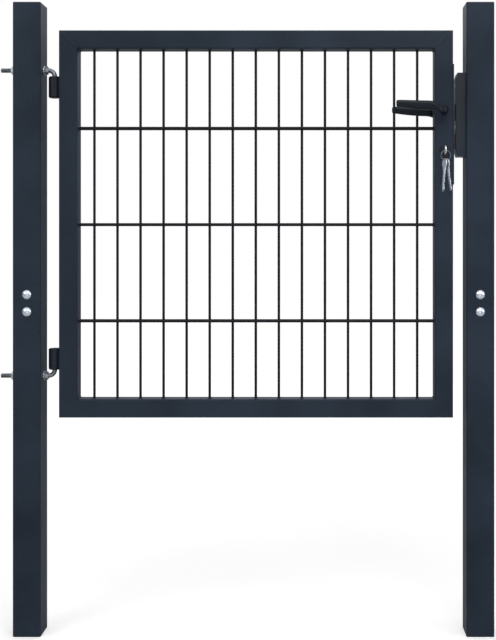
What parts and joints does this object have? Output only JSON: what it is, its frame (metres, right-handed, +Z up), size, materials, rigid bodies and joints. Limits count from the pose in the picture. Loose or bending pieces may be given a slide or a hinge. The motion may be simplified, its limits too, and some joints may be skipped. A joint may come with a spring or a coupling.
{
  "type": "swing fence gate",
  "caption": "Mesh swing gate for a garden fence: a welded leaf on bent hinge bolts between square posts, with lever lock, keep and keys.",
  "frame": {"origin": "middle of the hinge post's foot, on its flat end face", "axes": "+X from the hinge post to the latch post, +Y from the key side to the other side, +Z up"},
  "size_m": [1.065, 0.124, 1.36],
  "materials": {
    "powder_coat": "anthracite powder coat, semi-matt",
    "powder_coat_wire": "anthracite powder coat on welded wire",
    "hinge_barrel_coat": "black powder coat",
    "zinc": "bright zinc plate",
    "stainless": "polished stainless steel",
    "cap_plastic": "moulded polyethylene",
    "lever_plastic": "dark anthracite, satin",
    "forend_steel": "blackened steel",
    "keep_coat": "anthracite coat, satin",
    "black_nickel": "black-nickel-plated brass",
    "key_steel": "nickel-plated key"
  },
  "bodies": {
    "posts": {"hinge_post_lower": "powder_coat", "hinge_post_upper": "powder_coat", "hinge_post_sleeve": "powder_coat", "hinge_post_foot_cap": "cap_plastic", "hinge_post_top_cap": "cap_plastic", "latch_post_lower": "powder_coat", "latch_post_upper": "powder_coat", "latch_post_sleeve": "powder_coat", "latch_post_foot_cap": "cap_plastic", "latch_post_top_cap": "cap_plastic", "post_bolts": "stainless", "post_bolt_nuts": "zinc", "upper_hinge_bolt": "zinc", "lower_hinge_bolt": "zinc", "hinge_nuts": "zinc", "hinge_washers": "zinc", "keep": "keep_coat", "keep_screws": "zinc"},
    "leaf": {"hinge_stile": "powder_coat", "lock_stile": "powder_coat", "top_rail": "powder_coat", "bottom_rail": "powder_coat", "mesh_panel": "powder_coat_wire", "upper_hinge_barrel": "hinge_barrel_coat", "lower_hinge_barrel": "hinge_barrel_coat", "latch_bolt": "stainless", "dead_bolt": "stainless", "lock_case": "zinc", "lock_forend": "forend_steel", "forend_screws": "zinc", "lock_cylinder": "black_nickel"},
    "handle": {"spindle": "zinc", "front_lever": "lever_plastic", "back_lever": "lever_plastic"},
    "key": {"cylinder_plug": "black_nickel", "inserted_key": "key_steel"},
    "key_bunch": {"key_ring": "key_steel", "hanging_keys": "key_steel"}
  },
  "joints": [
    {"name": "leaf_swing", "type": "hinge", "parent": "posts", "child": "leaf", "pos_m": [0.0534, 0, 1.181], "axis": [0, 0, -1], "range_deg": [-90, 90]},
    {"name": "lever_turn", "type": "hinge", "parent": "leaf", "child": "handle", "pos_m": [0.8955, 0, 1.127], "axis": [0, -1, 0], "range_deg": [0, 45], "stiffness_Nm_per_rad": 1.2, "springref_deg": -20.05},
    {"name": "key_turn", "type": "hinge", "parent": "leaf", "child": "key", "pos_m": [0.8955, -0.025, 1.042], "axis": [0, -1, 0], "range_deg": [0, 90]},
    {"name": "keys_swing", "type": "hinge", "parent": "key", "child": "key_bunch", "pos_m": [0.8955, -0.045, 1.042], "axis": [-1, 0, 0], "range_deg": [-4, 60]}
  ]
}
